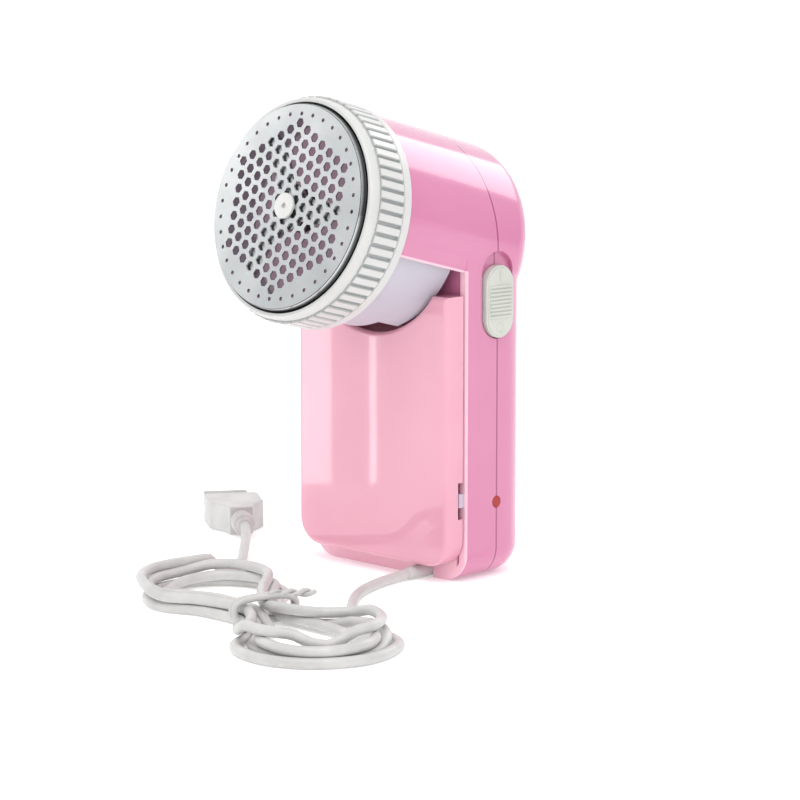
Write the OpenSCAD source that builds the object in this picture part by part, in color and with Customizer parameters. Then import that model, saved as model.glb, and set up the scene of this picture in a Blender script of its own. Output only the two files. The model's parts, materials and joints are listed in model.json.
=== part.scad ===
// Fabric shaver: a hand-held lint remover with a perforated foil, a fan that blows the lint
// into a clear box, a slide switch, a charging light and a captive USB charging cord.
// Millimetres, +Z up. X = 0 is the plane of symmetry and -Y is the shaving side. The
// origin is the middle of the footprint on the standing surface.

/* [Handle] */
// Width of the handle, and diameter of the barrel above it
body_w = 55; // [54:0.5:56]
// Depth of the handle ahead of the seam
body_front = 11; // [10.5:0.5:12]
// Depth of the handle behind the seam
body_rear = 13.5; // [12:0.5:14]
// Wall thickness of the two shells
wall = 1.8; // [1.6:0.1:2]
// Radius of the bottom corners, seen from the front
foot_r = 8; // [7:0.5:8.5]
// Radius of the upright rear edges
back_r = 10; // [9:0.5:10]

/* [Head] */
// Backward tilt of the shaving face from upright, in degrees
head_tilt = 14; // [13:0.5:15]
// Height of the centre of the shaving face
head_z = 95; // [94:0.5:96]
// Distance of the shaving face ahead of the seam
head_out = 45; // [44:0.5:46]
// How far the rounded back of the head bulges behind the end of its barrel
dome_depth = 13.5; // [12:0.5:14]
// Height of the hood's lower edge below the axis of the head
hood_drop = 8; // [7:0.5:8.5]

/* [Guard ring] */
// Outer radius of the ring over its ribs
ring_r = 28.4; // [28.2:0.1:29]
// Length of the ring along the head
ring_len = 13; // [12.5:0.5:13]
// Number of grip ribs
ring_ribs = 64; // [56:2:68]
// Height of a grip rib
rib_h = 0.7; // [0.5:0.1:0.8]

/* [Foil] */
// Radius of the flat perforated disc
foil_r = 25.4; // [25:0.1:25.5]
// How far the disc stands proud of the ring
foil_out = 1.6; // [1.4:0.1:1.8]
// Sheet thickness of the disc
foil_t = 0.4; // [0.3:0.05:0.5]
// Width of a hexagonal hole across its corners
hole_d = 2.6; // [2.2:0.1:2.8]
// Spacing of the hexagonal holes
hole_pitch = 3.45; // [3.3:0.05:3.5]
// Number of small round holes in the outer circle
rim_holes = 36; // [24:2:40]

/* [Cutter] */
// Number of arms of the rotating blade
blade_arms = 3; // [3:1:4]
// Number of vanes of the fan
fan_vanes = 8; // [6:1:9]

/* [Lint box] */
// Width of the lint box
box_w = 53; // [52.5:0.5:53]
// How far the box stands proud of the handle
box_proud = 6.5; // [6:0.5:6.5]
// Height of the underside of the box
box_z = 4.2; // [4.2:0.1:4.5]
// Height of the shoulders of the box
box_top = 72.5; // [72:0.5:74]
// Wall thickness of the box
box_wall = 1.5; // [1.3:0.1:1.6]

/* [Switch and light] */
// Height of the middle of the switch recess
switch_z = 72; // [71.8:0.1:72.4]
// Length of the switch recess
recess_len = 22; // [22:0.2:23]
// Width of the switch recess
recess_w = 11.5; // [11.2:0.1:12]
// Travel of the button
switch_travel = 3.2; // [3:0.1:3.2]
// Height of the charging light
led_z = 19.5; // [18:0.5:21]

/* [Cord] */
// Diameter of the cord
cord_d = 2.6; // [2.4:0.1:2.6]
// Place of the cord's gland along X
gland_x = 14; // [12:1:15]

/* [Hidden] */
$fn = 96;

pink = "#E79ABB";
clear_pink = "#F9C5D3";
white = "#EDEDEA";
grey = "#CFCDD6";
steel = "#C9CCCC";
dark = "#3A3A3E";
eps = 0.01;

// Main stations, measured from the seam between the two shells
half_w = body_w / 2;
dome_start = 7;
barrel_r = half_w + 0.15;
front_reach = head_out + foil_out * cos(head_tilt) + foil_r * sin(head_tilt);
rear_reach = dome_start + norm([dome_depth * cos(head_tilt), barrel_r * sin(head_tilt)]);
seam_y = (front_reach - rear_reach) / 2;
gap = 0.3;

// Stations along the head's axis, from the face of the ring (0) backwards
hood_w = -ring_len - 0.6;
seam_w = -head_out / cos(head_tilt);
dome_w = seam_w - dome_start / cos(head_tilt);
cup_w = -33;
cup_wall = 1.8;
cup_r = 25;
cup_in_r = 23.4;
collar_r = 26.5;
motor_w = cup_w - cup_wall;
motor_len = 22;
motor_r = 10.4;
shaft_r = 1;

// Lint box and the bay that it slides into
bay_w = 45.2;
bay_z = 5.6;
bay_top = 64.7;
bay_back = 2.6;
bay_wall = 1.5;
duct_w = 18.4;
duct_top = 73.5;
arc_r = 26.2;
arc_z = 88.1;
notch_z = 16.4;
notch_h = 9.3;

// Screw places: [x, z, y where the two bosses meet]
boss_low = [21.4, 11.5, 4];
boss_high = [14, 71, 0];
boss_r = 2.6;
screw_r = 1.05;
wire_r = 0.5;

// Cord: centre line, in millimetres from the part's origin
gland_z = 2;
gland_y = seam_y - body_front - 0.6;
cord_r = cord_d / 2;
hank_pos = [23, -60, 0];
hank_turn = -18;
hank_h = 7.4;
hank_lobe = 27;
hank_lobe_r = 20;
hank_waist = 9;
tie_w = 6;
tie_t = 0.8;
plug_pos = [-52, 2, 0];
plug_turn = 146;
plug_z = 4;
boot_len = 7;
plug_len = 21;
shell_len = 12;
run_route = [
    [gland_x, gland_y, gland_z], [14, -5, 1.6], [15.5, -15, cord_r], [20, -26, cord_r],
    [28, -36, cord_r], [37, -44, cord_r], [43.5, -49, cord_r]
];
lead_route = [
    [-20.5, -43.5, cord_r], [-20, -36, cord_r], [-23, -28, cord_r],
    [-29, -20, cord_r], [-37, -12, 1.6], [-44.5, -4.5, 3], [-52, 2, plug_z]
];

// Puts children in a frame whose Y = 0 is the seam
module at_seam() {
    translate([0, seam_y, 0])
        children();
}

// Puts children in the head's frame: +Z out of the shaving face, Z = 0 at the ring's face
module at_head() {
    translate([0, seam_y - head_out, head_z])
        rotate([90 - head_tilt, 0, 0])
            children();
}

// Ring of revolution about the head's axis, from station a back to station b
module head_ring(r_out, r_in, a, b) {
    at_head()
        translate([0, 0, b])
            difference() {
                cylinder(r = r_out, h = a - b);
                translate([0, 0, -1])
                    cylinder(r = r_in, h = a - b + 2);
            }
}

module head_disc(r, a, b) {
    at_head()
        translate([0, 0, b])
            cylinder(r = r, h = a - b);
}

// Cylinder along -Y in the seam's frame, from y0 back to y1
module y_rod(r, x, z, y0, y1) {
    at_seam()
        translate([x, y1, z])
            rotate([90, 0, 0])
                cylinder(r = r, h = y1 - y0);
}

// Upright obround plate facing +X, from x0 to x1
module x_obround(w, len, z, x0, x1) {
    at_seam()
        translate([x0, 0, z])
            rotate([90, 0, 90])
                linear_extrude(x1 - x0)
                    union() {
                        square([w, len - w], center = true);
                        for (s = [-1, 1])
                            translate([0, s * (len - w) / 2])
                                circle(d = w);
                    }
}

module box_at_seam(x0, x1, y0, y1, z0, z1) {
    at_seam()
        translate([x0, y0, z0])
            cube([x1 - x0, y1 - y0, z1 - z0]);
}

// ---- Shells ----

// Front view of the handle, inset by i: rounded at the foot, square at the top
module front_outline(i) {
    r = foot_r - i;
    w = half_w - i;
    union() {
        translate([-w, foot_r])
            square([2 * w, head_z - foot_r]);
        translate([-(w - r), i])
            square([2 * (w - r), foot_r]);
        for (s = [-1, 1])
            translate([s * (w - r), foot_r])
                circle(r = r);
    }
}

// Top view of the handle ahead of its rear corners, inset by i
module plan_outline(i) {
    w = half_w - i;
    front_r = 1;
    union() {
        translate([-w, -body_front + front_r])
            square([2 * w, body_front + body_rear - back_r - front_r]);
        translate([-(w - front_r), -body_front])
            square([2 * (w - front_r), 2 * front_r]);
        for (s = [-1, 1])
            translate([s * (w - front_r), -body_front + front_r])
                circle(r = front_r);
    }
}

// Side view of the foot, inset by i: rounded at the lower rear edge
module side_outline(i) {
    r = foot_r - i;
    union() {
        translate([0, i])
            square([body_rear - i - r, head_z - i]);
        translate([0, i + r])
            square([body_rear - i, head_z - i - r]);
        translate([body_rear - i - r, i + r])
            circle(r = r);
    }
}

// Rear corner on the switch side, inset by i: turned about its upright axis
module rear_corner(i) {
    translate([half_w - back_r, body_rear - back_r, 0])
        rotate_extrude(angle = 90)
            intersection() {
                union() {
                    translate([0, i])
                        square([back_r - foot_r, head_z - i]);
                    translate([0, foot_r])
                        square([back_r - i, head_z - foot_r]);
                    translate([back_r - foot_r, foot_r])
                        circle(r = foot_r - i);
                }
                square([back_r, head_z]);
            }
}

// Handle up to the axis of the head, inset by i
module handle_block(i) {
    difference() {
        at_seam()
            union() {
                intersection() {
                    linear_extrude(head_z)
                        plan_outline(i);
                    translate([0, body_rear - back_r, 0])
                        rotate([90, 0, 0])
                            linear_extrude(body_front + body_rear - back_r)
                                front_outline(i);
                }
                translate([back_r - half_w, 0, 0])
                    rotate([90, 0, 90])
                        linear_extrude(body_w - 2 * back_r)
                            side_outline(i);
                rear_corner(i);
                mirror([1, 0, 0])
                    rear_corner(i);
            }
        at_head()
            translate([-50, -1, -90])
                cube([100, 60, 120]);
    }
}

// Barrel of the head with its rounded back, inset by i, from behind the ring. It is a
// hair wider than the handle, so that the two cross cleanly.
module barrel(i) {
    r = barrel_r - i;
    steps = 18;
    at_head()
        rotate_extrude()
            polygon(concat(
                [[0, hood_w], [r, hood_w]],
                [for (k = [0:steps - 1])
                    [r * cos(90 * k / steps), dome_w - (dome_depth - i) * sin(90 * k / steps)]],
                [[0, dome_w - (dome_depth - i) * sin(90 * (steps - 1) / steps)]]
            ));
}

module shell_solid(i) {
    handle_block(i);
    barrel(i);
}

// Everything ahead of (or behind) the seam
module front_half() {
    box_at_seam(-60, 60, -80, 0, -5, 140);
}

module rear_half() {
    box_at_seam(-60, 60, 0, 60, -5, 140);
}

// Space under the hood, ahead of the handle
module under_hood() {
    intersection() {
        box_at_seam(-60, 60, -80, -body_front + 0.05, -5, 140);
        at_head()
            translate([-50, -80 - hood_drop, -100])
                cube([100, 80, 120]);
    }
}

// Recess and stem slot of the switch, and the hole of the charging light
module side_openings() {
    x_obround(recess_w, recess_len, switch_z, half_w - 1.2, half_w + 5);
    box_at_seam(half_w - 6, half_w, -1.7, 1.7, 67.6, 75.8);
    at_seam()
        translate([half_w - 6, 0, led_z])
            rotate([0, 90, 0])
                cylinder(r = 1.55, h = 12);
}

// Thickening of the wall behind the switch
module switch_pad() {
    x_obround(recess_w + 2.4, recess_len + 2.4, switch_z, half_w - 2.9, half_w - 1.6);
}

module boss_pair(at, y0, y1, r) {
    for (s = [-1, 1])
        y_rod(r, s * at[0], at[1], y0, y1);
}

// Channel in the foot that the cord's gland sits in
module gland_channel() {
    r = 1.95;
    y_rod(r, gland_x, gland_z, -body_front - 1, 1.5);
    box_at_seam(gland_x - r, gland_x + r, -body_front - 1, 0.8, -1, gland_z);
}

module front_shell() {
    tub_w = bay_w / 2 + bay_wall;
    color(pink)
        difference() {
            union() {
                difference() {
                    intersection() {
                        shell_solid(0);
                        front_half();
                    }
                    shell_solid(wall);
                    under_hood();
                    side_openings();
                }
                difference() {
                    intersection() {
                        switch_pad();
                        front_half();
                    }
                    side_openings();
                }
                // Bay of the lint box and the wall round the neck
                intersection() {
                    union() {
                        box_at_seam(-tub_w, tub_w, -body_front, -bay_back + bay_wall,
                            0, bay_top + bay_wall);
                        box_at_seam(-half_w, half_w, -body_front + 0.6, -body_front + 2.1,
                            0, 84);
                    }
                    difference() {
                        shell_solid(1);
                        under_hood();
                    }
                }
                boss_pair(boss_low, -bay_back, boss_low[2], boss_r);
                boss_pair(boss_high, -body_front + 1, boss_high[2], boss_r);
            }
            box_at_seam(-bay_w / 2, bay_w / 2, -body_front - 1, -bay_back, bay_z, bay_top);
            box_at_seam(-duct_w / 2 - gap, duct_w / 2 + gap, -body_front - 1, -bay_back - 0.8,
                bay_top - 1, duct_top + gap);
            head_disc(cup_r + 0.5, hood_w, motor_w - 0.6);
            head_disc(motor_r + 1, motor_w, motor_w - 10);
            gland_channel();
            boss_pair(boss_low, -bay_back + 1, boss_low[2] + 1, screw_r + 0.05);
            boss_pair(boss_high, -body_front + 2.5, boss_high[2] + 1, screw_r + 0.05);
        }
}

module rear_shell() {
    color(pink)
        difference() {
            union() {
                difference() {
                    intersection() {
                        shell_solid(0);
                        rear_half();
                    }
                    shell_solid(wall);
                    side_openings();
                }
                difference() {
                    intersection() {
                        switch_pad();
                        rear_half();
                    }
                    side_openings();
                }
                intersection() {
                    union() {
                        boss_pair(boss_low, boss_low[2], 30, boss_r + 0.6);
                        boss_pair(boss_high, boss_high[2], 30, boss_r + 0.6);
                        // Two ribs that cradle the battery
                        for (z = [20, 44])
                            box_at_seam(-18, -6, 7, body_rear, z, z + 1.5);
                    }
                    shell_solid(wall / 2);
                }
            }
            boss_pair(boss_low, 0, 30, screw_r + 0.2);
            boss_pair(boss_high, -1, 30, screw_r + 0.2);
            boss_pair(boss_low, boss_low[2] + 2, 30, 2.3);
            boss_pair(boss_high, boss_high[2] + 5, 30, 2.3);
            at_seam()
                translate([-12, 4.7, 9])
                    cylinder(r = 5.1, h = 46);
            gland_channel();
        }
}

module one_screw(x, z, head_y, len) {
    y_rod(2, x, z, head_y, head_y + 1.6);
    y_rod(screw_r, x, z, head_y - len, head_y + eps);
}

module shell_screws() {
    color(steel)
        difference() {
            for (s = [-1, 1]) {
                one_screw(s * boss_low[0], boss_low[1], boss_low[2] + 2, 6.5);
                one_screw(s * boss_high[0], boss_high[1], boss_high[2] + 5, 11);
            }
            for (s = [-1, 1], a = [0, 90]) {
                at_seam()
                    translate([s * boss_low[0], boss_low[2] + 3.7, boss_low[1]])
                        rotate([0, a, 0])
                            cube([2.4, 1.6, 0.5], center = true);
                at_seam()
                    translate([s * boss_high[0], boss_high[2] + 6.7, boss_high[1]])
                        rotate([0, a, 0])
                            cube([2.4, 1.6, 0.5], center = true);
            }
        }
}

// ---- Cutter housing and lint path ----

// Way out for the lint at the bottom of the cup
module lint_outlet() {
    at_head()
        translate([-9, -cup_r - 2, motor_w - 1])
            cube([18, 8, 8]);
}

module cutter_housing() {
    color(grey)
        difference() {
            union() {
                head_ring(collar_r, collar_r - 1.7, -2.9, -ring_len);
                head_ring(collar_r, cup_in_r, -ring_len + 0.6, -ring_len - 0.5);
                head_ring(cup_r, cup_in_r, -ring_len, cup_w - cup_wall);
                head_disc(cup_in_r + 0.5, cup_w, cup_w - cup_wall);
                head_disc(4.5, cup_w + 2, cup_w - eps);
                // Flange that closes the mouth of the hood
                difference() {
                    head_ring(half_w - wall - 0.1, cup_in_r + 1, -ring_len - 1, -ring_len - 2.6);
                    at_head()
                        translate([-50, -80 - hood_drop, -100])
                            cube([100, 80, 120]);
                }
            }
            head_disc(3.1, cup_w + 4, cup_w - 5);
            for (s = [-1, 1])
                at_head()
                    translate([s * 8, 0, cup_w - 5])
                        cylinder(r = 1.1, h = 10);
            lint_outlet();
        }
}

// Hood over the mouth of the lint box, behind the cup
module lint_duct() {
    color(grey)
        difference() {
            box_at_seam(-duct_w / 2, duct_w / 2, -15.6, -3.6, bay_top + 0.4, duct_top);
            box_at_seam(-duct_w / 2 + 1.2, duct_w / 2 - 1.2, -16, -4.8, bay_top - 1, duct_top - 1.2);
            head_disc(cup_r + 0.4, -ring_len, motor_w - 0.4);
        }
}

// Front view of the lint box, inset by i
module box_outline(i, w, z0, z1) {
    r = foot_r - 1 - i;
    difference() {
        union() {
            translate([-w / 2 + i, z0 + i + r])
                square([w - 2 * i, z1 - z0 - 2 * i - r]);
            translate([-w / 2 + i + r, z0 + i])
                square([w - 2 * i - 2 * r, r + 1]);
            for (s = [-1, 1])
                translate([s * (w / 2 - i - r), z0 + i + r])
                    circle(r = r);
        }
        translate([0, arc_z])
            circle(r = arc_r + i);
    }
}

module box_slab(i, w, z0, z1, y0, y1) {
    at_seam()
        translate([0, y1, 0])
            rotate([90, 0, 0])
                linear_extrude(y1 - y0)
                    box_outline(i, w, z0, z1);
}

module lint_box() {
    front = -body_front - box_proud;
    back = -bay_back - gap;
    neck_w = bay_w - 0.8;
    color(clear_pink, 0.6)
        difference() {
            union() {
                box_slab(0, box_w, box_z, box_top, front, -body_front - gap);
                box_slab(0, neck_w, bay_z + 0.4, bay_top - 0.4, -body_front - 1, back);
            }
            box_slab(box_wall, box_w, box_z, box_top, front + box_wall, -body_front - 1 - gap);
            box_slab(box_wall, neck_w, bay_z + 0.4, bay_top + 5,
                -body_front - 1 - 2 * gap, back - box_wall);
            // Mouth under the duct
            box_at_seam(-9.5, 9.5, front + box_wall, back - box_wall, 50, 75);
            // Notches for the latch tabs in the rear edges of the sides
            for (s = [-1, 1])
                at_seam()
                    translate([s * box_w / 2 - 2, -body_front - 2, notch_z])
                        cube([4, 2, notch_h]);
        }
}

// Small tabs on the handle's front edge that hold the box
module latch_tabs() {
    color(white)
        for (s = [-1, 1])
            at_seam()
                translate([s * (box_w / 2 - 0.6) - 0.6, -body_front - 1.6, notch_z + 3])
                    cube([1.2, 1.6, 3.4]);
}

// ---- Guard ring and foil ----

module guard_ring() {
    core = ring_r - rib_h;
    lip = 1.2;
    in_r = 26.9;
    color(white)
        at_head() {
            rotate_extrude()
                polygon([
                    [26.3, 0], [27, 0], [27.4, -0.4], [core, -1.6], [core, -2.6],
                    [core, -ring_len + 2.6], [ring_r, -ring_len + 2.2], [ring_r, -ring_len],
                    [in_r, -ring_len], [in_r, -lip], [26.3, -lip]
                ]);
            translate([0, 0, -ring_len + 2.6])
                linear_extrude(ring_len - 5.4)
                    difference() {
                        polygon([for (k = [0:ring_ribs - 1], p = [-0.4, -0.28, 0.28, 0.4])
                            let (a = 360 * (k + p) / ring_ribs, r = abs(p) < 0.3 ? ring_r : core)
                                [r * cos(a), r * sin(a)]]);
                        circle(r = core - 0.4);
                    }
        }
}

// Chromed pan that carries the perforated disc
module foil_rim() {
    color(steel)
        at_head()
            rotate_extrude()
                polygon([
                    [26.7, -1.4], [26.7, -2.6], [25.4, -2.6], [25.1, -0.6],
                    [foil_r - 1.2, foil_out - foil_t - 0.5], [foil_r - 1.2, foil_out - foil_t],
                    [foil_r, foil_out - foil_t], [foil_r + 0.1, foil_out - 0.1], [26, 0],
                    [26, -1.4]
                ]);
}

// Flat perforated disc: hexagonal holes on a triangular lattice and a circle of round ones
module foil() {
    field_r = 20.8;
    rows = 7;
    color(steel)
        at_head()
            translate([0, 0, foil_out - foil_t])
                linear_extrude(foil_t)
                    difference() {
                        circle(r = foil_r - 0.05);
                        circle(r = 1.2);
                        for (i = [-rows:rows], j = [-rows:rows])
                            let (x = hole_pitch * sqrt(3) / 2 * j, y = hole_pitch * (i + j / 2))
                                if (norm([x, y]) < field_r && norm([x, y]) > 2.5)
                                    translate([x, y])
                                        circle(d = hole_d, $fn = 6);
                        for (k = [0:rim_holes - 1])
                            rotate(360 * k / rim_holes)
                                translate([23, 0])
                                    circle(d = 1, $fn = 16);
                    }
}

// White rivet in the middle of the foil
module foil_hub() {
    color(white)
        at_head()
            difference() {
                union() {
                    translate([0, 0, foil_out])
                        cylinder(r = 3.2, h = 0.8);
                    translate([0, 0, foil_out - foil_t - 0.2])
                        cylinder(r = 1.15, h = foil_t + 0.2 + eps);
                }
                translate([0, 0, foil_out])
                    cylinder(r = 0.7, h = 2);
            }
}

// ---- Rotating parts ----

module cutter_blade() {
    color(steel)
        at_head()
            linear_extrude(0.7)
                difference() {
                    union() {
                        circle(r = 6);
                        for (k = [0:blade_arms - 1])
                            rotate(360 * k / blade_arms)
                                polygon([
                                    [0, -3.2], [12, -3.6], [21.5, -1.2], [22.4, 2.4], [12, 1.6],
                                    [0, 4]
                                ]);
                    }
                    circle(r = 2.05);
                }
}

module blade_hub() {
    color(dark)
        at_head()
            difference() {
                union() {
                    translate([0, 0, -5])
                        cylinder(r = 5.5, h = 5);
                    cylinder(r = 2, h = 0.8);
                }
                translate([0, 0, -6])
                    cylinder(r = shaft_r, h = 5);
            }
}

module fan_impeller() {
    back = -26;
    color(grey)
        at_head()
            difference() {
                union() {
                    translate([0, 0, back])
                        cylinder(r = 21, h = 1.5);
                    translate([0, 0, back])
                        cylinder(r = 4, h = 19);
                    for (k = [0:fan_vanes - 1])
                        rotate(360 * k / fan_vanes)
                            translate([3.5, -0.6, back])
                                cube([17, 1.2, 11]);
                }
                translate([0, 0, back - 1])
                    cylinder(r = shaft_r, h = 30);
            }
}

module motor_shaft() {
    color(steel)
        head_disc(shaft_r, -1, motor_w - motor_len - 1.2);
}

module motor_armature() {
    color("#B5652B")
        at_head()
            difference() {
                union() {
                    translate([0, 0, motor_w - 16])
                        linear_extrude(10)
                            union() {
                                circle(r = 4.4);
                                for (k = [0:2])
                                    rotate(120 * k + 30)
                                        translate([3, -2.2])
                                            square([4, 4.4]);
                            }
                    translate([0, 0, motor_w - 20])
                        cylinder(r = 2.4, h = 4.5);
                }
                translate([0, 0, motor_w - 30])
                    cylinder(r = shaft_r, h = 40);
            }
}

// ---- Fixed parts of the motor ----

module motor_can() {
    color(steel)
        at_head()
            difference() {
                translate([0, 0, motor_w - motor_len + 3])
                    cylinder(r = motor_r, h = motor_len - 3);
                translate([0, 0, motor_w - motor_len + 2])
                    cylinder(r = motor_r - 0.8, h = motor_len - 3);
                translate([0, 0, motor_w - 5])
                    cylinder(r = 2.55, h = 8);
                for (s = [-1, 1])
                    translate([s * 8, 0, motor_w - 3])
                        cylinder(r = 0.9, h = 4);
            }
}

module motor_magnets() {
    color(dark)
        at_head()
            difference() {
                translate([0, 0, motor_w - 17])
                    cylinder(r = motor_r - 0.85, h = 13);
                translate([0, 0, motor_w - 18])
                    cylinder(r = 7.6, h = 16);
                translate([-3.5, -20, motor_w - 18])
                    cube([7, 40, 16]);
            }
}

module motor_bush() {
    color("#B08D57")
        at_head()
            difference() {
                union() {
                    translate([0, 0, motor_w - 2.6])
                        cylinder(r = 2.5, h = 4);
                    translate([0, 0, motor_w - 2.6])
                        cylinder(r = 3.6, h = 1.55);
                }
                translate([0, 0, motor_w - 5])
                    cylinder(r = shaft_r + 0.04, h = 10);
            }
}

module motor_end_cap() {
    color(white)
        at_head()
            difference() {
                union() {
                    translate([0, 0, motor_w - motor_len])
                        cylinder(r = motor_r - 0.1, h = 3);
                    translate([0, 0, motor_w - motor_len])
                        cylinder(r = motor_r - 0.85, h = 4.5);
                }
                translate([0, 0, motor_w - motor_len + 1.5])
                    cylinder(r = 6.5, h = 4);
                translate([0, 0, motor_w - motor_len - 2])
                    cylinder(r = shaft_r + 0.04, h = 10);
                for (s = [-1, 1])
                    translate([s * 7.6 - 0.3, -1.5, motor_w - motor_len - 2])
                        cube([0.6, 3, 8]);
            }
}

module motor_terminals() {
    color("#B08D57")
        at_head()
            for (s = [-1, 1])
                translate([s * 7.6 - 0.25, -1.4, motor_w - motor_len - 1.3])
                    cube([0.5, 2.8, 4.5]);
}

module motor_screws() {
    color(steel)
        at_head()
            for (s = [-1, 1]) {
                translate([s * 8, 0, cup_w])
                    cylinder(r = 1.7, h = 1);
                translate([s * 8, 0, cup_w - 4.2])
                    cylinder(r = 0.85, h = 4.3);
            }
}

// ---- Switch ----

module switch_button() {
    len = recess_len - switch_travel - 0.6;
    mid = switch_z - switch_travel / 2;
    ridge_pitch = 0.95;
    color(white)
        difference() {
            union() {
                x_obround(recess_w - 1.6, len, mid, half_w - 1.1, half_w + 0.9);
                x_obround(recess_w - 2.8, len - 1.2, mid, half_w, half_w + 1.1);
                for (k = [-4:4])
                    box_at_seam(half_w, half_w + 1.4, -3.9, 3.9,
                        mid + k * ridge_pitch - 0.25, mid + k * ridge_pitch + 0.25);
                box_at_seam(half_w - 4.7, half_w - 1, -1.5, 1.5, mid - 1.7, mid + 1.7);
            }
            box_at_seam(half_w - 5, half_w - 3, -0.8, 0.8, mid - 1.05, mid + 1.05);
        }
}

module switch_lever() {
    mid = switch_z - switch_travel / 2;
    color(dark)
        box_at_seam(half_w - 8, half_w - 3.1, -0.7, 0.7, mid - 1, mid + 1);
}

module switch_body() {
    mid = switch_z;
    color(steel)
        difference() {
            box_at_seam(half_w - 10, half_w - 5.1, -3.2, 3.2, mid - 5.6, mid + 5.6);
            box_at_seam(half_w - 9, half_w - 4, -0.8, 0.8, mid - 3.4, mid + 3.4);
        }
}

// ---- Electrics in the handle ----

module circuit_board() {
    color("#2F6B3C")
        difference() {
            box_at_seam(2, 17.5, 2.5, 3.7, 14, 54);
            for (z = [17, 51])
                y_rod(1, 5, z, 0, 6);
        }
}

module board_parts() {
    color(dark) {
        box_at_seam(5, 10, 3.7, 5.2, 30, 35);
        box_at_seam(12, 15, 3.7, 4.9, 22, 25);
        y_rod(2.5, 13, 42, 3.7, 8.7);
    }
}

module charge_led() {
    color("#8E1B12")
        at_seam()
            translate([0, 0, led_z])
                rotate([0, 90, 0]) {
                    translate([0, 0, half_w - 3.2])
                        cylinder(r = 1.5, h = 3.2);
                    translate([0, 0, half_w - 3.2])
                        cylinder(r = 1.9, h = 1.3);
                    for (s = [-1, 1])
                        translate([s * 0.9, 0, half_w - 8.5])
                            cylinder(r = 0.25, h = 5.4, $fn = 24);
                }
}

module battery_cell() {
    color("#4C7FB8")
        at_seam()
            translate([-12, 4.7, 10]) {
                cylinder(r = 5, h = 43);
                translate([0, 0, 43 - eps])
                    cylinder(r = 2, h = 1 + eps);
            }
}

module battery_tabs() {
    color(steel) {
        box_at_seam(-14, -10, 2.7, 6.7, 54, 54.2);
        box_at_seam(-14, -10, 2.7, 6.7, 9.8, 10);
    }
}

module motor_wires() {
    color("#B3261E")
        at_seam()
            for (s = [-1, 1])
                tube(smooth([
                    [7.6 * s, 11.1, 78.5], [8 * s, 10.4, 72], [9 + s, 7, 62], [9 + 2 * s, 4.6, 56],
                    [9 + 2 * s, 4.4, 52]
                ], 3), wire_r, 6, [1, 0, 0]);
}

module battery_wires() {
    color("#222222")
        at_seam() {
            tube(smooth([
                [-10, 6, 54.8], [-6, 5.4, 56], [0, 4.6, 53], [4, 4.4, 48]
            ], 3), wire_r, 6, [0, 1, 0]);
            tube(smooth([
                [-10, 6, 9], [-5, 5.4, 8], [0, 4.6, 11], [4, 4.4, 18]
            ], 3), wire_r, 6, [0, 1, 0]);
        }
}

// ---- Cord and plug ----

module cord_gland() {
    color(white) {
        difference() {
            y_rod(1.9, gland_x, gland_z, -body_front - 0.6, 1);
            y_rod(0.6, gland_x, gland_z, -1, 2);
        }
        box_at_seam(gland_x - 1.5, gland_x + 1.5, 1, 2.2, wall + 0.15, 5);
    }
}

function catmull(a, b, c, d, t) =
    0.5 * ((2 * b) + (c - a) * t + (2 * a - 5 * b + 4 * c - d) * t * t
        + (3 * b - a - 3 * c + d) * t * t * t);
function smooth(p, n) = [
    for (k = [0:len(p) - 2], s = [0:n - 1])
        catmull(p[max(k - 1, 0)], p[k], p[k + 1], p[min(k + 2, len(p) - 1)], s / n),
    p[len(p) - 1]
];
function unit(v) = v / norm(v);

// Tube of radius r swept along a path that never runs parallel to ref
module tube(path, r, sides, ref = [0, 0, 1]) {
    n = len(path);
    ring = function (k)
        let (
            t = unit(path[min(k + 1, n - 1)] - path[max(k - 1, 0)]),
            side = unit(cross(t, ref)),
            up = cross(side, t)
        )
        [for (s = [0:sides - 1])
            path[k] + r * (cos(360 * s / sides) * side + sin(360 * s / sides) * up)];
    polyhedron(
        points = [for (k = [0:n - 1]) each ring(k)],
        faces = concat(
            [[for (s = [0:sides - 1]) s]],
            [for (k = [0:n - 2], s = [0:sides - 1])
                let (q = (s + 1) % sides)
                    [k * sides + s, (k + 1) * sides + s, (k + 1) * sides + q, k * sides + q]],
            [[for (s = [0:sides - 1]) n * sides - 1 - s]]
        )
    );
}

module cord_run() {
    color(white)
        tube(smooth(run_route, 2), cord_r, 8);
}

module cord_lead() {
    color(white)
        tube(smooth(lead_route, 2), cord_r, 8);
}

module at_hank() {
    translate(hank_pos)
        rotate([0, 0, hank_turn])
            children();
}

// Hank of folded cord: two rounded lobes and a waist between them
module hank_outline() {
    side = hank_lobe - 13;
    flank = hank_lobe_r * 0.76;
    for (s = [-1, 1])
        translate([s * hank_lobe, 0])
            circle(r = hank_lobe_r);
    polygon([
        [-hank_lobe, 0], [-side, -flank], [-tie_w / 2, -hank_waist], [tie_w / 2, -hank_waist],
        [side, -flank], [hank_lobe, 0], [side, flank], [tie_w / 2, hank_waist],
        [-tie_w / 2, hank_waist], [-side, flank]
    ]);
}

module tie_band(grow) {
    w = hank_waist + grow;
    translate([-tie_w / 2, -w, 0])
        cube([tie_w, 2 * w, hank_h]);
}

module tie_core() {
    w = hank_waist - tie_t;
    translate([-tie_w, -w, tie_t])
        cube([2 * tie_w, 2 * w, hank_h - 2 * tie_t]);
}

module cord_hank() {
    color(white)
        at_hank()
            difference() {
                linear_extrude(hank_h)
                    hank_outline();
                difference() {
                    tie_band(2);
                    tie_core();
                }
            }
}

module cord_tie() {
    color(white)
        at_hank()
            difference() {
                tie_band(0);
                tie_core();
            }
}

// Puts children in the plug's frame: +X towards its tip, Z = 0 in its middle plane
module at_plug() {
    translate(plug_pos)
        rotate([0, 0, plug_turn])
            translate([0, 0, plug_z])
                children();
}

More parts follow.
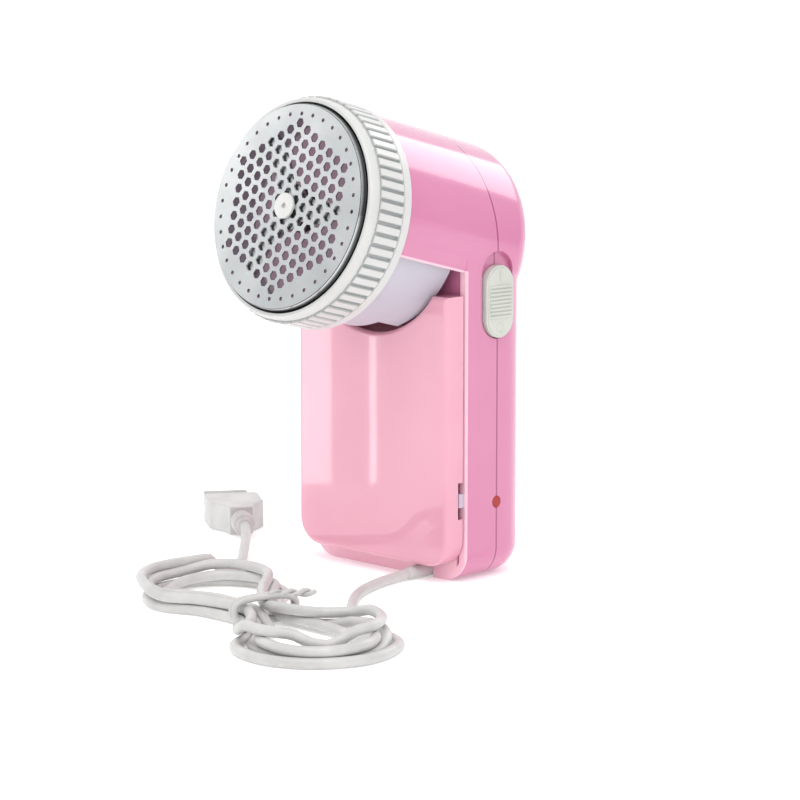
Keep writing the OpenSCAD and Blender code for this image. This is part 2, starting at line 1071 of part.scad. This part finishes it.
module plug_boot() {
    color(white)
        at_plug()
            rotate([0, 90, 0]) {
                cylinder(r1 = 2, r2 = 2.6, h = boot_len);
                for (k = [0:2])
                    translate([0, 0, 1 + 2 * k])
                        cylinder(r = 3.1, h = 1.1);
            }
}

module plug_body() {
    neck = 4;
    color(white)
        at_plug()
            translate([boot_len, 0, 0])
                difference() {
                    translate([0, 0, -3.8])
                        linear_extrude(7.6)
                            polygon([
                                [0, -3.2], [neck, -4], [9, -7.4], [plug_len - 1, -7.6],
                                [plug_len, -6.8], [plug_len, 6.8], [plug_len - 1, 7.6], [9, 7.4],
                                [neck, 4], [0, 3.2]
                            ]);
                    translate([plug_len - 5, -6.05, -2.3])
                        cube([6, 12.1, 4.6]);
                }
}

module plug_shell() {
    t = 0.35;
    color("#9A9A96")
        at_plug()
            translate([boot_len + plug_len, 0, 0])
                difference() {
                    translate([-5, -6, -2.25])
                        cube([5 + shell_len, 12, 4.5]);
                    translate([-4, -6 + t, -2.25 + t])
                        cube([6 + shell_len, 12 - 2 * t, 4.5 - 2 * t]);
                    for (s = [-1, 1])
                        translate([5.2, s * 3 - 1.1, 0])
                            cube([2.4, 2.2, 5]);
                }
}

module plug_tongue() {
    color(white)
        at_plug()
            translate([boot_len + plug_len - 4, -5.6, -1.85])
                cube([shell_len + 3, 11.2, 1.9]);
}

module plug_contacts() {
    color("#C9A94B")
        at_plug()
            for (y = [-3.5, -1, 1, 3.5])
                translate([boot_len + plug_len + 2, y - 0.55, 0.05])
                    cube([8, 1.1, 0.25]);
}

front_shell();
rear_shell();
shell_screws();
cutter_housing();
lint_duct();
lint_box();
latch_tabs();
guard_ring();
foil_rim();
foil();
foil_hub();
cutter_blade();
blade_hub();
fan_impeller();
motor_shaft();
motor_armature();
motor_can();
motor_magnets();
motor_bush();
motor_end_cap();
motor_terminals();
motor_screws();
switch_button();
switch_lever();
switch_body();
circuit_board();
board_parts();
charge_led();
battery_cell();
battery_tabs();
motor_wires();
battery_wires();
cord_gland();
cord_run();
cord_hank();
cord_tie();
cord_lead();
plug_boot();
plug_body();
plug_shell();
plug_tongue();
plug_contacts();
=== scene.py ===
import json
import math

import bmesh
import bpy
from mathutils import Matrix, Vector


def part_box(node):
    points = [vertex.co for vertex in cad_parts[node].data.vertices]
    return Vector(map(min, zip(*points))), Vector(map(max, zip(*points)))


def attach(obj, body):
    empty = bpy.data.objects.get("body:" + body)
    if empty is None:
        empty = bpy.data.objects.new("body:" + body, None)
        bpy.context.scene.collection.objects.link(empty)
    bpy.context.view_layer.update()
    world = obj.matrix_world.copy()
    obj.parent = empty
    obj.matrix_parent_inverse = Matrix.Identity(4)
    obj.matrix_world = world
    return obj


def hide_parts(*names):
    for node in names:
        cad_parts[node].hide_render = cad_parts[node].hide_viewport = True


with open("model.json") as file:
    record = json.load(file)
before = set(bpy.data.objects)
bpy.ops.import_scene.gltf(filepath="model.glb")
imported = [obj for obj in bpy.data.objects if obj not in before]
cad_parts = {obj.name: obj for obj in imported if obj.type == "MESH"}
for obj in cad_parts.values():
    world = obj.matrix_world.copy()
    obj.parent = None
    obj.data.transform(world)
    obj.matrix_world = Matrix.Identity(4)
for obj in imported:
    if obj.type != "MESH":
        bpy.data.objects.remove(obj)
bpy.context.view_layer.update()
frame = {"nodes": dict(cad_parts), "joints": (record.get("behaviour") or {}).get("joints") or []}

# ---------------------------------------------------------------------------
# Camera. It stands to the right of the shaving face, a little above the middle
# of the handle, and looks at the handle from about two thirds of a metre.
mm = 0.001
azimuth, rise, distance = math.radians(44.9), math.radians(7.5), 0.709
seam_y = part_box("rear_shell")[0].y
aim = Vector((0, seam_y - 0.012, 0.060))
to_camera = Vector((
    math.sin(azimuth) * math.cos(rise), -math.cos(azimuth) * math.cos(rise), math.sin(rise),
))
camera = bpy.data.objects.new("camera", bpy.data.cameras.new("camera"))
camera.data.lens = 125.5
camera.data.shift_x, camera.data.shift_y = 0.018, -0.079
camera.data.clip_start = 0.02
camera.location = aim + to_camera * distance
camera.rotation_euler = (-to_camera).to_track_quat("-Z", "Y").to_euler()
bpy.context.scene.collection.objects.link(camera)
bpy.context.scene.camera = camera
bpy.context.scene.view_settings.view_transform = "Standard"

# ---------------------------------------------------------------------------
# Floor and light. The floor is a matt white sweep that curves up behind, under a
# pale room, with a large soft box overhead and a tall one on each side.


def srgb(code):
    """A hex colour as linear red, green, blue and alpha."""
    shares = [int(code[i:i + 2], 16) / 255 for i in (1, 3, 5)]
    return [c / 12.92 if c <= 0.04045 else ((c + 0.055) / 1.055) ** 2.4 for c in shares] + [1.0]


def add(tree, kind, settings=None, links=None):
    """Adds a node, with its sockets' and its own settings, and the links into it."""
    made = tree.nodes.new(kind)
    for name, value in (settings or {}).items():
        if name in made.inputs:
            made.inputs[name].default_value = value
        else:
            setattr(made, name, value)
    for name, source in (links or {}).items():
        tree.links.new(source, made.inputs[name])
    return made


def surface(name, low, high, cloud=120.0, grain=2500.0, dent=0.1, dent_mm=0.05, **settings):
    """A material whose colour drifts between two hex colours, with a fine grain.

    cloud and grain are turns to a metre, so 1000 is a millimetre across.
    """
    material = bpy.data.materials.new(name)
    material.use_nodes = True
    tree = material.node_tree
    tree.nodes.clear()
    place = add(tree, "ShaderNodeTexCoord")
    drift = add(tree, "ShaderNodeTexNoise", {"Scale": cloud, "Detail": 3.0},
                {"Vector": place.outputs["Object"]})
    tint = add(tree, "ShaderNodeValToRGB", links={"Fac": drift.outputs["Fac"]})
    tint.color_ramp.elements[0].position, tint.color_ramp.elements[1].position = 0.35, 0.65
    tint.color_ramp.elements[0].color = srgb(low)
    tint.color_ramp.elements[1].color = srgb(high)
    fine = add(tree, "ShaderNodeTexNoise", {"Scale": grain, "Detail": 2.0},
               {"Vector": place.outputs["Object"]})
    bump = add(tree, "ShaderNodeBump", {"Strength": dent, "Distance": dent_mm * mm},
               {"Height": fine.outputs["Fac"]})
    shader = add(tree, "ShaderNodeBsdfPrincipled", settings,
                 {"Base Color": tint.outputs["Color"], "Normal": bump.outputs["Normal"]})
    add(tree, "ShaderNodeOutputMaterial", links={"Surface": shader.outputs["BSDF"]})
    return material


def finished(name, shape, material, smooth=True):
    """A bmesh made into an object with one material."""
    bmesh.ops.recalc_face_normals(shape, faces=shape.faces)
    mesh = bpy.data.meshes.new(name)
    shape.to_mesh(mesh)
    shape.free()
    mesh.materials.append(material)
    if smooth:
        mesh.shade_smooth()
        mesh.set_sharp_from_angle(angle=math.radians(35))
    made = bpy.data.objects.new(name, mesh)
    bpy.context.scene.collection.objects.link(made)
    return made


# Fibres of the board are about a millimetre long
white_board = surface("matt white board", "#F8F8F8", "#FAFAFA", grain=900.0, dent=0.01,
                      Roughness=0.9, **{"Emission Color": (1, 1, 1, 1), "Emission Strength": 0.28})
across = Vector((math.cos(azimuth), math.sin(azimuth), 0))
away = Vector((-math.sin(azimuth), math.cos(azimuth), 0))
profile = [(-2.5, 0), (1.0, 0)]
profile += [(1.0 + 0.9 * math.sin(math.radians(a)), 0.9 - 0.9 * math.cos(math.radians(a)))
            for a in range(5, 91, 5)] + [(1.9, 4)]
shape = bmesh.new()
edge = [shape.verts.new(across * -4 + away * reach + Vector((0, 0, height)))
        for reach, height in profile]
edges = [shape.edges.new(pair) for pair in zip(edge, edge[1:])]
swept = bmesh.ops.extrude_edge_only(shape, edges=edges)["geom"]
bmesh.ops.translate(shape, verts=[v for v in swept if isinstance(v, bmesh.types.BMVert)],
                    vec=across * 8)
finished("floor", shape, white_board)

world = bpy.data.worlds.new("pale room")
world.use_nodes = True
tree = world.node_tree
up = add(tree, "ShaderNodeSeparateXYZ",
         links={"Vector": add(tree, "ShaderNodeTexCoord").outputs["Generated"]})
sky = add(tree, "ShaderNodeValToRGB", links={"Fac": up.outputs["Z"]})
sky.color_ramp.elements[0].color = srgb("#C9CACD")
sky.color_ramp.elements[1].color = srgb("#FFFFFF")
sky.color_ramp.elements[1].position = 0.7
tree.nodes["Background"].inputs["Strength"].default_value = 0.85
tree.links.new(sky.outputs["Color"], tree.nodes["Background"].inputs["Color"])
bpy.context.scene.world = world


def soft_box(name, place, width, height, glow, upright=False):
    """A rectangular soft box that faces the middle of the object, glow times as bright as
    white paper. An upright one faces it level."""
    light = bpy.data.lights.new(name, "AREA")
    light.shape, light.size, light.size_y = "RECTANGLE", width, height
    light.energy = glow * math.pi * width * height
    made = bpy.data.objects.new(name, light)
    made.visible_camera = False
    made.location = place
    facing = aim - Vector(place)
    if upright:
        facing.z = 0
    made.rotation_euler = facing.to_track_quat("-Z", "Y").to_euler()
    bpy.context.scene.collection.objects.link(made)


soft_box("overhead light", (0.25, -0.35, 0.9), 0.7, 0.5, 3.0)
soft_box("face light", (-0.66, -0.70, 0.50), 0.55, 0.36, 0.95)
soft_box("rear light", (0.0, 0.93, 0.60), 0.60, 0.26, 2.6)
soft_box("side light", (0.80, -0.45, 0.75), 0.30, 0.5, 3.0)
# Two strips stand on the floor close by and show as upright streaks in the lint box
soft_box("broad strip", (-0.0994, -0.0777, 0.07), 0.009, 0.20, 2.6, upright=True)
soft_box("narrow strip", (-0.0874, -0.0898, 0.07), 0.002, 0.20, 3.6, upright=True)

# ---------------------------------------------------------------------------
# Charging cord: a round two-core lead in soft white PVC, extruded, limp and
# slightly glossy. It leaves the gland, is folded seven times through the tie
# and goes on to the plug, all on the standing surface.
cord_thick = 2.6
half_cord = cord_thick / 2
gland_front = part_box("cord_gland")[0].y * 1000
run_route = [
    (14, gland_front, 2), (14, -5, 1.6), (15.5, -15, 1.3), (20, -26, 1.3), (28, -36, 1.3),
    (37, -44, 1.3), (43.5, -49, 1.3),
]
lead_route = [
    (-20.5, -43.5, 1.3), (-20, -36, 1.3), (-23, -28, 1.3), (-29, -20, 1.3), (-37, -12, 1.6),
    (-44.5, -4.5, 3), (-52, 2, 4),
]
hank_place = Matrix.Translation((23, -60, 0)) @ Matrix.Rotation(math.radians(-18), 4, "Z")
# Loops in turn, right and left: reach from the tie, half width, lean
loops = [(46.6, 18.4, 0), (44, 16.8, 0.4), (43.4, 15.2, 0.8), (41.6, 13.6, -0.8),
         (45, 13, -1.4), (44.6, 14.6, 1.2), (40, 16.4, 0.6), (46.2, 18.4, 0)]
# Where each pass through the tie lies across it
passes = [-6.5, 6.5, -3.9, 3.9, -1.3, 1.3, -5.2]


def through(points, steps):
    """A smooth line through points, with steps pieces between each two."""
    made = []
    for k in range(len(points) - 1):
        a, b = points[max(k - 1, 0)], points[k]
        c, d = points[k + 1], points[min(k + 2, len(points) - 1)]
        for s in range(steps):
            t = s / steps
            made.append(0.5 * (2 * b + (c - a) * t + (2 * a - 5 * b + 4 * c - d) * t * t
                               + (3 * b - a - 3 * c + d) * t ** 3))
    return made + [points[-1]]


def loop_points(number):
    """One loop of the hank, from its way out of the tie to its way back in."""
    reach, half, lean = loops[number]
    side = 1 if number % 2 == 0 else -1
    first, last = number == 0, number == len(loops) - 1
    middle = reach - half
    bends = [90, 62, 31, 0, -31, -62, -90] if not last else [112, 90, 62, 31, 0]
    if first:
        bends = [72, 48, 24, 0, -31, -62, -90]
    if not last:
        bends.append(-112)
    if not first and not last:
        bends.insert(0, 112)
    made = [(middle + half * math.cos(math.radians(b)), half * math.sin(math.radians(b)) + lean)
            for b in bends]
    if not first:
        enter = side * passes[number - 1]
        made = [(3.5, enter), (3.5 + middle * 0.4, enter + (half - enter) * 0.4)] + made
    if not last:
        leave = side * passes[number]
        made += [(3.5 + middle * 0.4, leave - (half + leave) * 0.4), (3.5, leave)]
    return [hank_place @ Vector((side * x, side * y, half_cord)) for x, y in made]


route = [Vector(p) for p in run_route]
for number in range(len(loops)):
    route += loop_points(number)
route += [Vector(p) for p in lead_route]
line = through(route, 5)
# The cord lies on what it crosses: each point is lifted over the earlier ones
# that it comes near, and the lifts are spread into long low humps
for _ in range(5):
    lifts = []
    for i, p in enumerate(line):
        lift = 0.0
        for q in line[:max(i - 6, 0)]:
            apart = (p.xy - q.xy).length
            if apart < cord_thick * 0.97:
                lift = max(lift, q.z - half_cord + math.sqrt(cord_thick ** 2 - apart ** 2))
        lifts.append(lift)
    for i, p in enumerate(line):
        near = max(lifts[max(i - 3, 0):i + 4])
        p.z = max(p.z, half_cord + near if near > 0 else 0)
for _ in range(6):
    heights = [p.z for p in line]
    for i in range(1, len(line) - 1):
        line[i].z = max(line[i].z, (heights[i - 1] + heights[i + 1]) / 2)

# Soft PVC, extruded with a faint orange peel of about half a millimetre
soft_pvc = surface("soft white PVC", "#C2C1BF", "#CFCECC", cloud=160.0, grain=2200.0, dent=0.12,
                   dent_mm=0.1, Roughness=0.36, IOR=1.53)


def round_line(name, points, thick, material, caps=True, rings=4):
    """A round strand through points given in millimetres."""
    curve = bpy.data.curves.new(name, "CURVE")
    curve.dimensions = "3D"
    curve.bevel_depth = thick / 2 * mm
    curve.bevel_resolution = rings
    curve.use_fill_caps = caps
    spline = curve.splines.new("POLY")
    spline.points.add(len(points) - 1)
    for point, p in zip(spline.points, points):
        point.co = (*(Vector(p) * mm), 1)
    curve.materials.append(material)
    made = bpy.data.objects.new(name, curve)
    bpy.context.scene.collection.objects.link(made)
    return made


charging_cord = round_line("charging_cord", line, cord_thick, soft_pvc)
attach(charging_cord, "base")
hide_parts("cord_run", "cord_hank", "cord_lead")

# ---------------------------------------------------------------------------
# Tie: a plastic-coated wire, wound twice round the middle of the hank and
# twisted together on top, with two short tails.
wraps, per_wrap = 2, 28
turns = []  # Each is a rounded box round the bundle, square to the cord
for k in range(wraps * per_wrap + 1):
    a = 2 * math.pi * k / per_wrap
    bulge = (abs(math.cos(a)) ** 3.2 + abs(math.sin(a)) ** 3.2) ** (-1 / 3.2)
    turns.append(hank_place @ Vector((
        -1.6 + 3.2 * k / (wraps * per_wrap),
        8.2 * bulge * math.sin(a),
        3.7 - 2.85 * bulge * math.cos(a),
    )))
tie_wire = round_line("tie_wire", turns, 1.5, soft_pvc)
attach(tie_wire, "base")
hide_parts("cord_tie")

tails = []
for side in (0, math.pi):
    tail = [hank_place @ Vector((
        0.75 * math.cos(3.2 * math.pi * k / 24 + side), 1 + 0.5 * k,
        7.0 - 0.03 * k + 0.55 * math.sin(3.2 * math.pi * k / 24 + side),
    )) for k in range(25)]
    made = round_line("tie_tail_%d" % (len(tails) + 1), tail, 1.2, soft_pvc)
    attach(made, "base")
    tails.append(made)

# ---------------------------------------------------------------------------
# Cord's strain relief: a tapered sleeve of the same PVC, moulded on the cord
# where it leaves the gland under the lint box.
sleeve_steps = [(0, 1.9), (1, 1.9), (2.2, 1.78), (6.5, 1.5), (7, 1.35)]
shape = bmesh.new()
centre, wide = Vector((14, gland_front, 2)) * mm, sleeve_steps[0][1]
bmesh.ops.create_circle(shape, segments=24, radius=wide * mm, matrix=(
    Matrix.Translation(centre) @ Matrix.Rotation(math.radians(90), 4, "X")))
edges = shape.edges[:]
for reach, radius in sleeve_steps[1:]:
    edges_and_ends = bmesh.ops.extrude_edge_only(shape, edges=edges)["geom"]
    edges = [e for e in edges_and_ends if isinstance(e, bmesh.types.BMEdge) and e.is_boundary]
    ends = [v for v in edges_and_ends if isinstance(v, bmesh.types.BMVert)]
    step = Vector((14, gland_front - reach, 2 - 0.046 * reach)) * mm - centre
    centre += step
    bmesh.ops.translate(shape, verts=ends, vec=step)
    bmesh.ops.scale(shape, verts=ends, vec=[radius / wide] * 3,
                    space=Matrix.Translation(-centre))
    wide = radius
bmesh.ops.holes_fill(shape, edges=[e for e in shape.edges if e.is_boundary], sides=24)
sleeve = finished("cord_sleeve", shape, soft_pvc)
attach(sleeve, "base")

# ---------------------------------------------------------------------------
# Finishing of the designed pieces: each shown piece is the designed solid with
# its flat facets joined, its corners eased and its curved faces smooth.


def eased(node, body, material, ease, segments=2, front_round=0):
    """A smooth copy of a designed piece, with corners eased by some millimetres."""
    shape = bmesh.new()
    shape.from_mesh(frame["nodes"][node].data)
    bmesh.ops.remove_doubles(shape, verts=shape.verts, dist=0.002 * mm)
    bmesh.ops.dissolve_limit(shape, angle_limit=math.radians(0.6), verts=shape.verts,
                             edges=shape.edges)
    if front_round:
        front = min(v.co.y for v in shape.verts)
        edges = [e for e in shape.edges if all(abs(v.co.y - front) < 0.01 * mm for v in e.verts)
                 and len(e.link_faces) == 2 and e.calc_face_angle(0) > 1]
        bmesh.ops.bevel(shape, geom=edges, offset=front_round * mm, offset_type="OFFSET",
                        affect="EDGES", segments=5, profile=0.5, material=-1, clamp_overlap=True)
    piece = finished(node + "_finish", shape, material)
    for layer in [a for a in piece.data.attributes if a.name == "custom_normal"]:
        piece.data.attributes.remove(layer)
    if ease:
        bevel = piece.modifiers.new("eased corners", "BEVEL")
        bevel.width = ease * mm
        bevel.segments = segments
        bevel.limit_method = "ANGLE"
        bevel.angle_limit = math.radians(38)
        bevel.harden_normals = True
    # Flat faces keep their own normals, so that they reflect straight
    flats = piece.modifiers.new("flat faces", "WEIGHTED_NORMAL")
    flats.weight = 100
    flats.keep_sharp = True
    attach(piece, body)
    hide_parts(node)
    return piece


def dress(material, *nodes):
    """Gives designed pieces that stay as they are their material."""
    for node in nodes:
        mesh = frame["nodes"][node].data
        mesh.materials.clear()
        mesh.materials.append(material)


# ---------------------------------------------------------------------------
# Handle: two shells injection moulded in glossy pink ABS, joined by four screws
# from behind. The seam runs over the top and down both sides.


def overlay(material, code, mask):
    """Lays a second hex colour over a material, where the mask socket is one."""
    tree = material.node_tree
    shader = next(n for n in tree.nodes if n.type == "BSDF_PRINCIPLED")
    below = shader.inputs["Base Color"].links[0].from_socket
    mixed = add(tree, "ShaderNodeMixRGB", {"Color2": srgb(code)}, {"Fac": mask, "Color1": below})
    tree.links.new(mixed.outputs["Color"], shader.inputs["Base Color"])


def fade(material, reading, start, end):
    """A mask that is one where the reading is start millimetres, and falls to nought at end."""
    return add(material.node_tree, "ShaderNodeMapRange", {
        "From Min": start * mm, "From Max": end * mm, "To Min": 1.0, "To Max": 0.0,
    }, {"Value": reading}).outputs["Result"]


def both(material, first, second):
    """A mask that is one where two masks are."""
    return add(material.node_tree, "ShaderNodeMath", {"operation": "MULTIPLY"},
               {0: first, 1: second}).outputs[0]


def vector_step(material, operation, vector, constant):
    """One step of vector arithmetic between a socket and a fixed vector."""
    step = add(material.node_tree, "ShaderNodeVectorMath", {"operation": operation}, {0: vector})
    step.inputs[1].default_value = constant
    return step.outputs


def from_point(material, origin):
    """Where a point of the piece lies from an origin."""
    place = add(material.node_tree, "ShaderNodeTexCoord").outputs["Object"]
    return vector_step(material, "SUBTRACT", place, origin)["Vector"]


def height_along(material, origin, axis):
    """How far a point of the piece lies from an origin along an axis."""
    return vector_step(material, "DOT_PRODUCT", from_point(material, origin), axis)["Value"]


# ABS with a mirror-like mould finish: only a trace of orange peel, 2 mm across
pink_abs = surface("moulded pink ABS", "#D07CA2", "#D483A8", cloud=25.0, grain=500.0, dent=0.04,
                   dent_mm=0.03, Roughness=0.16, **{"Coat Weight": 0.5, "Coat Roughness": 0.05})
# Painted shade: the joint line between the shells is dark for a quarter of a millimetre
backwards = (0, 1, 0)
from_seam = add(pink_abs.node_tree, "ShaderNodeMath", {"operation": "ABSOLUTE"},
                {0: height_along(pink_abs, (0, seam_y, 0), backwards)}).outputs[0]
overlay(pink_abs, "#A24C76", fade(pink_abs, from_seam, 0.2, 0.32))
# Painted highlight: the rim of the front shell is lightened over half a millimetre, for the light
# it catches, along the front of the handle and along the lower edge of the hood
shell_front, hood_drop = 11, 8
turning = next(j for j in frame["joints"] if j["name"] == "ring_turn")
head, head_axis = Vector(turning["pos_m"]), Vector(turning["axis"])
head_up = Vector((0, head_axis.z, -head_axis.y))
# A copy of the pink ABS that carries the rim's painted highlight
pink_abs_painted_highlight = pink_abs.copy()
pink_abs_painted_highlight.name = "moulded pink ABS, painted rim highlight"
past_front = height_along(pink_abs_painted_highlight, (0, seam_y - shell_front * mm, 0), backwards)
over_edge = height_along(pink_abs_painted_highlight, head - hood_drop * mm * head_up, head_up)
overlay(pink_abs_painted_highlight, "#F6C3D3", both(pink_abs_painted_highlight, fade(pink_abs_painted_highlight, past_front, 0.4, 0.6),
                                  fade(pink_abs_painted_highlight, over_edge, 0.4, 0.6)))
eased("front_shell", "base", pink_abs_painted_highlight, 0.4)
eased("rear_shell", "base", pink_abs, 0.2)

# ---------------------------------------------------------------------------
# Neck: the cutter housing with the suction cup, and the duct behind it, moulded
# in pale lilac-grey ABS and clamped between the shells.
lilac_abs = surface("moulded lilac-grey ABS", "#BDBBC6", "#C6C4CE", cloud=40.0, grain=900.0,
                    dent=0.05, Roughness=0.32)
housing = eased("cutter_housing", "base", lilac_abs, 0.2)
dress(lilac_abs, "lint_duct")
# Painted glow: the inside of the cup and the fan are in a darker, pinker lilac-grey with a faint
# emission, standing in for light that comes through the thin wall of the cup
lilac_abs_painted_glow = surface("lilac-grey ABS, painted glow", "#A08D97", "#AD9BA4", cloud=60.0, grain=900.0,
                  dent=0.05, Roughness=0.4, **{"Emission Color": srgb("#94808B"),
                                               "Emission Strength": 0.45})
dress(lilac_abs_painted_glow, "fan_impeller")
housing.data.materials.append(lilac_abs_painted_glow)
# Faces inside the cup take the painted glow
cup_inside, cup_floor = 23.6, 33.5
for face in housing.data.polygons:
    from_head = face.center - head
    within = from_head.cross(head_axis).length < cup_inside * mm
    if within and from_head.dot(head_axis) > -cup_floor * mm:
        face.material_index = 1

# ---------------------------------------------------------------------------
# Lint box: a clear pink tray, moulded in styrene-acrylonitrile, that slides
# forward off two small catches on the handle's front edge.
clear_pink = surface("clear pink SAN", "#F2A9BF", "#F7B5C8", cloud=18.0, grain=300.0, dent=0.0,
                     dent_mm=0.05, Roughness=0.06, Alpha=0.82,
                     **{"Coat Weight": 0.8, "Coat Roughness": 0.03})
eased("lint_box", "lint_box", clear_pink, 0.25, front_round=1.3)

# ---------------------------------------------------------------------------
# Guard ring and the white trim: moulded white ABS, satin from a fine spark
# finish. The ring screws on over the foil and turns with the fingers.


def distance_from(material, origin, axis):
    """How far a point of the piece lies from the line through an origin along an axis."""
    swept = vector_step(material, "CROSS_PRODUCT", from_point(material, origin), axis)
    return add(material.node_tree, "ShaderNodeVectorMath", {"operation": "LENGTH"},
               {0: swept["Vector"]}).outputs["Value"]


white_abs = surface("moulded white ABS", "#CFCFCD", "#D5D5D3", cloud=60.0, grain=1800.0,
                    dent=0.08, dent_mm=0.04, Roughness=0.3)
ribbed_abs_painted_shade = surface("ribbed white ABS, painted shade", "#CFCFCD", "#D5D5D3", cloud=60.0, grain=1800.0,
                     dent=0.08, dent_mm=0.04, Roughness=0.3)
# Painted shade: grey between the ribs, which stand 0.7 mm above the core
core_radius, rib_radius = 27.8, 28.35
ring_out = distance_from(ribbed_abs_painted_shade, head, head_axis)
ring_back = height_along(ribbed_abs_painted_shade, head, head_axis)
overlay(ribbed_abs_painted_shade, "#A6AAAA", both(ribbed_abs_painted_shade,
                                    fade(ribbed_abs_painted_shade, ring_out, core_radius, rib_radius),
                                    fade(ribbed_abs_painted_shade, ring_back, -2.9, -2.4)))
eased("guard_ring", "guard", ribbed_abs_painted_shade, 0.12)
eased("foil_hub", "foil_unit", white_abs, 0.15)
dress(white_abs, "motor_end_cap", "plug_tongue")
# The two catches are of the same resin, in a greyer and pinker tone
greyed_white_abs = surface("greyed white ABS", "#C4B2C4", "#CDBDCC", cloud=300.0, grain=1800.0, dent=0.1,
                   Roughness=0.4)
dress(greyed_white_abs, "latch_tabs")

# ---------------------------------------------------------------------------
# Foil: etched and pressed stainless steel sheet, with a chromed rim. Grain from
# rolling is a third of a millimetre apart.
steel_sheet = surface("polished stainless sheet", "#B9BCBC", "#C6C8C8", cloud=90.0, grain=3000.0,
                      dent=0.06, dent_mm=0.03, Metallic=1.0, Roughness=0.34)
chrome = surface("chromed rim", "#D5D7D8", "#DDDFDF", cloud=200.0, grain=4000.0, dent=0.03,
                 Metallic=1.0, Roughness=0.12)
# Painted shade: a dark line where the pan of the rim turns into its flange
overlay(chrome, "#4A4C4D", fade(chrome, distance_from(chrome, head, head_axis), 25.75, 25.5))
dress(steel_sheet, "foil")
eased("foil_rim", "foil_unit", chrome, 0.06)

# ---------------------------------------------------------------------------
# Metal parts inside: blade, motor can, shaft, screws and clips in plain steel,
# with copper windings and brass fittings.
plain_steel = surface("drawn steel", "#A7A9AA", "#B4B6B7", cloud=250.0, grain=4000.0, dent=0.15,
                      Metallic=1.0, Roughness=0.34)
dress(plain_steel, "cutter_blade", "motor_shaft", "motor_can", "motor_screws",
      "switch_body", "battery_tabs", "shell_screws")
enamel_copper = surface("enamelled copper wire", "#A85A26", "#BC6E35", cloud=900.0, grain=3000.0,
                        dent=0.3, Metallic=1.0, Roughness=0.3)
dress(enamel_copper, "motor_armature")
brass = surface("gilt brass", "#B9984B", "#C9A95A", cloud=300.0, grain=4000.0, dent=0.08,
                Metallic=1.0, Roughness=0.28)
dress(brass, "motor_bush", "motor_terminals", "plug_contacts")

# ---------------------------------------------------------------------------
# Dark and coloured parts inside: nylon hub and lever, ferrite magnets, circuit
# board, battery in its shrink sleeve and the stranded wires.
dark_nylon = surface("black nylon", "#1D1D20", "#28282C", cloud=200.0, grain=2500.0, dent=0.2,
                     Roughness=0.5)
dress(dark_nylon, "blade_hub", "motor_magnets", "switch_lever", "board_parts")
solder_mask = surface("green solder mask", "#245A33", "#2C6A3D", cloud=300.0, grain=1500.0,
                      dent=0.1, Roughness=0.3)
dress(solder_mask, "circuit_board")
shrink_sleeve = surface("blue shrink sleeve", "#3F6FA8", "#4C7FB8", cloud=80.0, grain=800.0,
                        dent=0.15, Roughness=0.22)
dress(shrink_sleeve, "battery_cell")
red_pvc = surface("red wire PVC", "#A5221B", "#B52E25", cloud=400.0, grain=3000.0, Roughness=0.4)
dress(red_pvc, "motor_wires")
black_pvc = surface("black wire PVC", "#1A1A1A", "#242424", cloud=400.0, grain=3000.0,
                    Roughness=0.4)
dress(black_pvc, "battery_wires")

# ---------------------------------------------------------------------------
# Switch: a ridged slide button in off-white ABS, with a raised bar for on and a
# raised circle for off.
switch_abs = surface("moulded off-white ABS", "#C6C8C0", "#CED0C8", cloud=90.0, grain=1800.0,
                     dent=0.08, Roughness=0.34)
eased("switch_button", "switch", switch_abs, 0.15)
button_low, button_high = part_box("switch_button")
face = button_high.x - 0.3 * mm
middle = (button_low + button_high) / 2
shape = bmesh.new()
bmesh.ops.create_cube(shape, size=1, matrix=Matrix.Translation(
    (face, middle.y, middle.z + 6.6 * mm)) @ Matrix.Diagonal((0.3 * mm, 0.5 * mm, 2.6 * mm, 1)))
mark = finished("on_mark", shape, switch_abs, smooth=False)
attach(mark, "switch")
off_ring = []
for k in range(25):
    a = 2 * math.pi * k / 24
    off_ring.append(((face / mm), middle.y / mm + 1.2 * math.cos(a),
                     middle.z / mm - 6.6 + 1.2 * math.sin(a)))
mark = round_line("off_mark", off_ring, 0.42, switch_abs, caps=False, rings=2)
mark.data.splines[0].points[0].co = mark.data.splines[0].points[-1].co
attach(mark, "switch")

# ---------------------------------------------------------------------------
# Charging light: a red diffused LED whose end shows through the side; and behind each catch of the
# lint box a dark violet pad, a painted shadow for the deep slot there.
red_lens = surface("red diffused epoxy", "#9C170E", "#AA2014", cloud=500.0, grain=2000.0,
                   dent=0.05, Roughness=0.12)
eased("charge_led", "base", red_lens, 0.45, segments=3)
# Painted shade: a dark violet sheet behind each catch, where there is only the shadow of the slot
painted_slot_shade = surface("painted slot shade", "#45183F", "#53204B", cloud=900.0, grain=4000.0, dent=0.4,
               dent_mm=0.1, Roughness=0.9)
tab_low, tab_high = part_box("latch_tabs")
for side, name in ((1, "right"), (-1, "left")):
    shape = bmesh.new()
    bmesh.ops.create_cube(shape, size=1, matrix=Matrix.Translation((
        side * (tab_high.x - 1.6 * mm), tab_high.y - 1.0 * mm, (tab_low.z + tab_high.z) / 2))
        @ Matrix.Diagonal((0.4 * mm, 1.7 * mm, 9.0 * mm, 1)))
    pad = finished("catch_slot_shade_" + name, shape, painted_slot_shade, smooth=False)
    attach(pad, "base")

# ---------------------------------------------------------------------------
# Plug: a nickelled steel shell with its tongue, in a body of white PVC moulded
# over it, and a ribbed boot on the cord. The gland is of the same PVC.
nickel = surface("nickelled steel", "#8F908B", "#A2A39E", cloud=150.0, grain=3500.0, dent=0.08,
                 Metallic=1.0, Roughness=0.27)
eased("plug_shell", "base", nickel, 0.12)
eased("plug_body", "base", soft_pvc, 1.1, segments=4)
eased("plug_boot", "base", soft_pvc, 0.2)
dress(soft_pvc, "cord_gland")
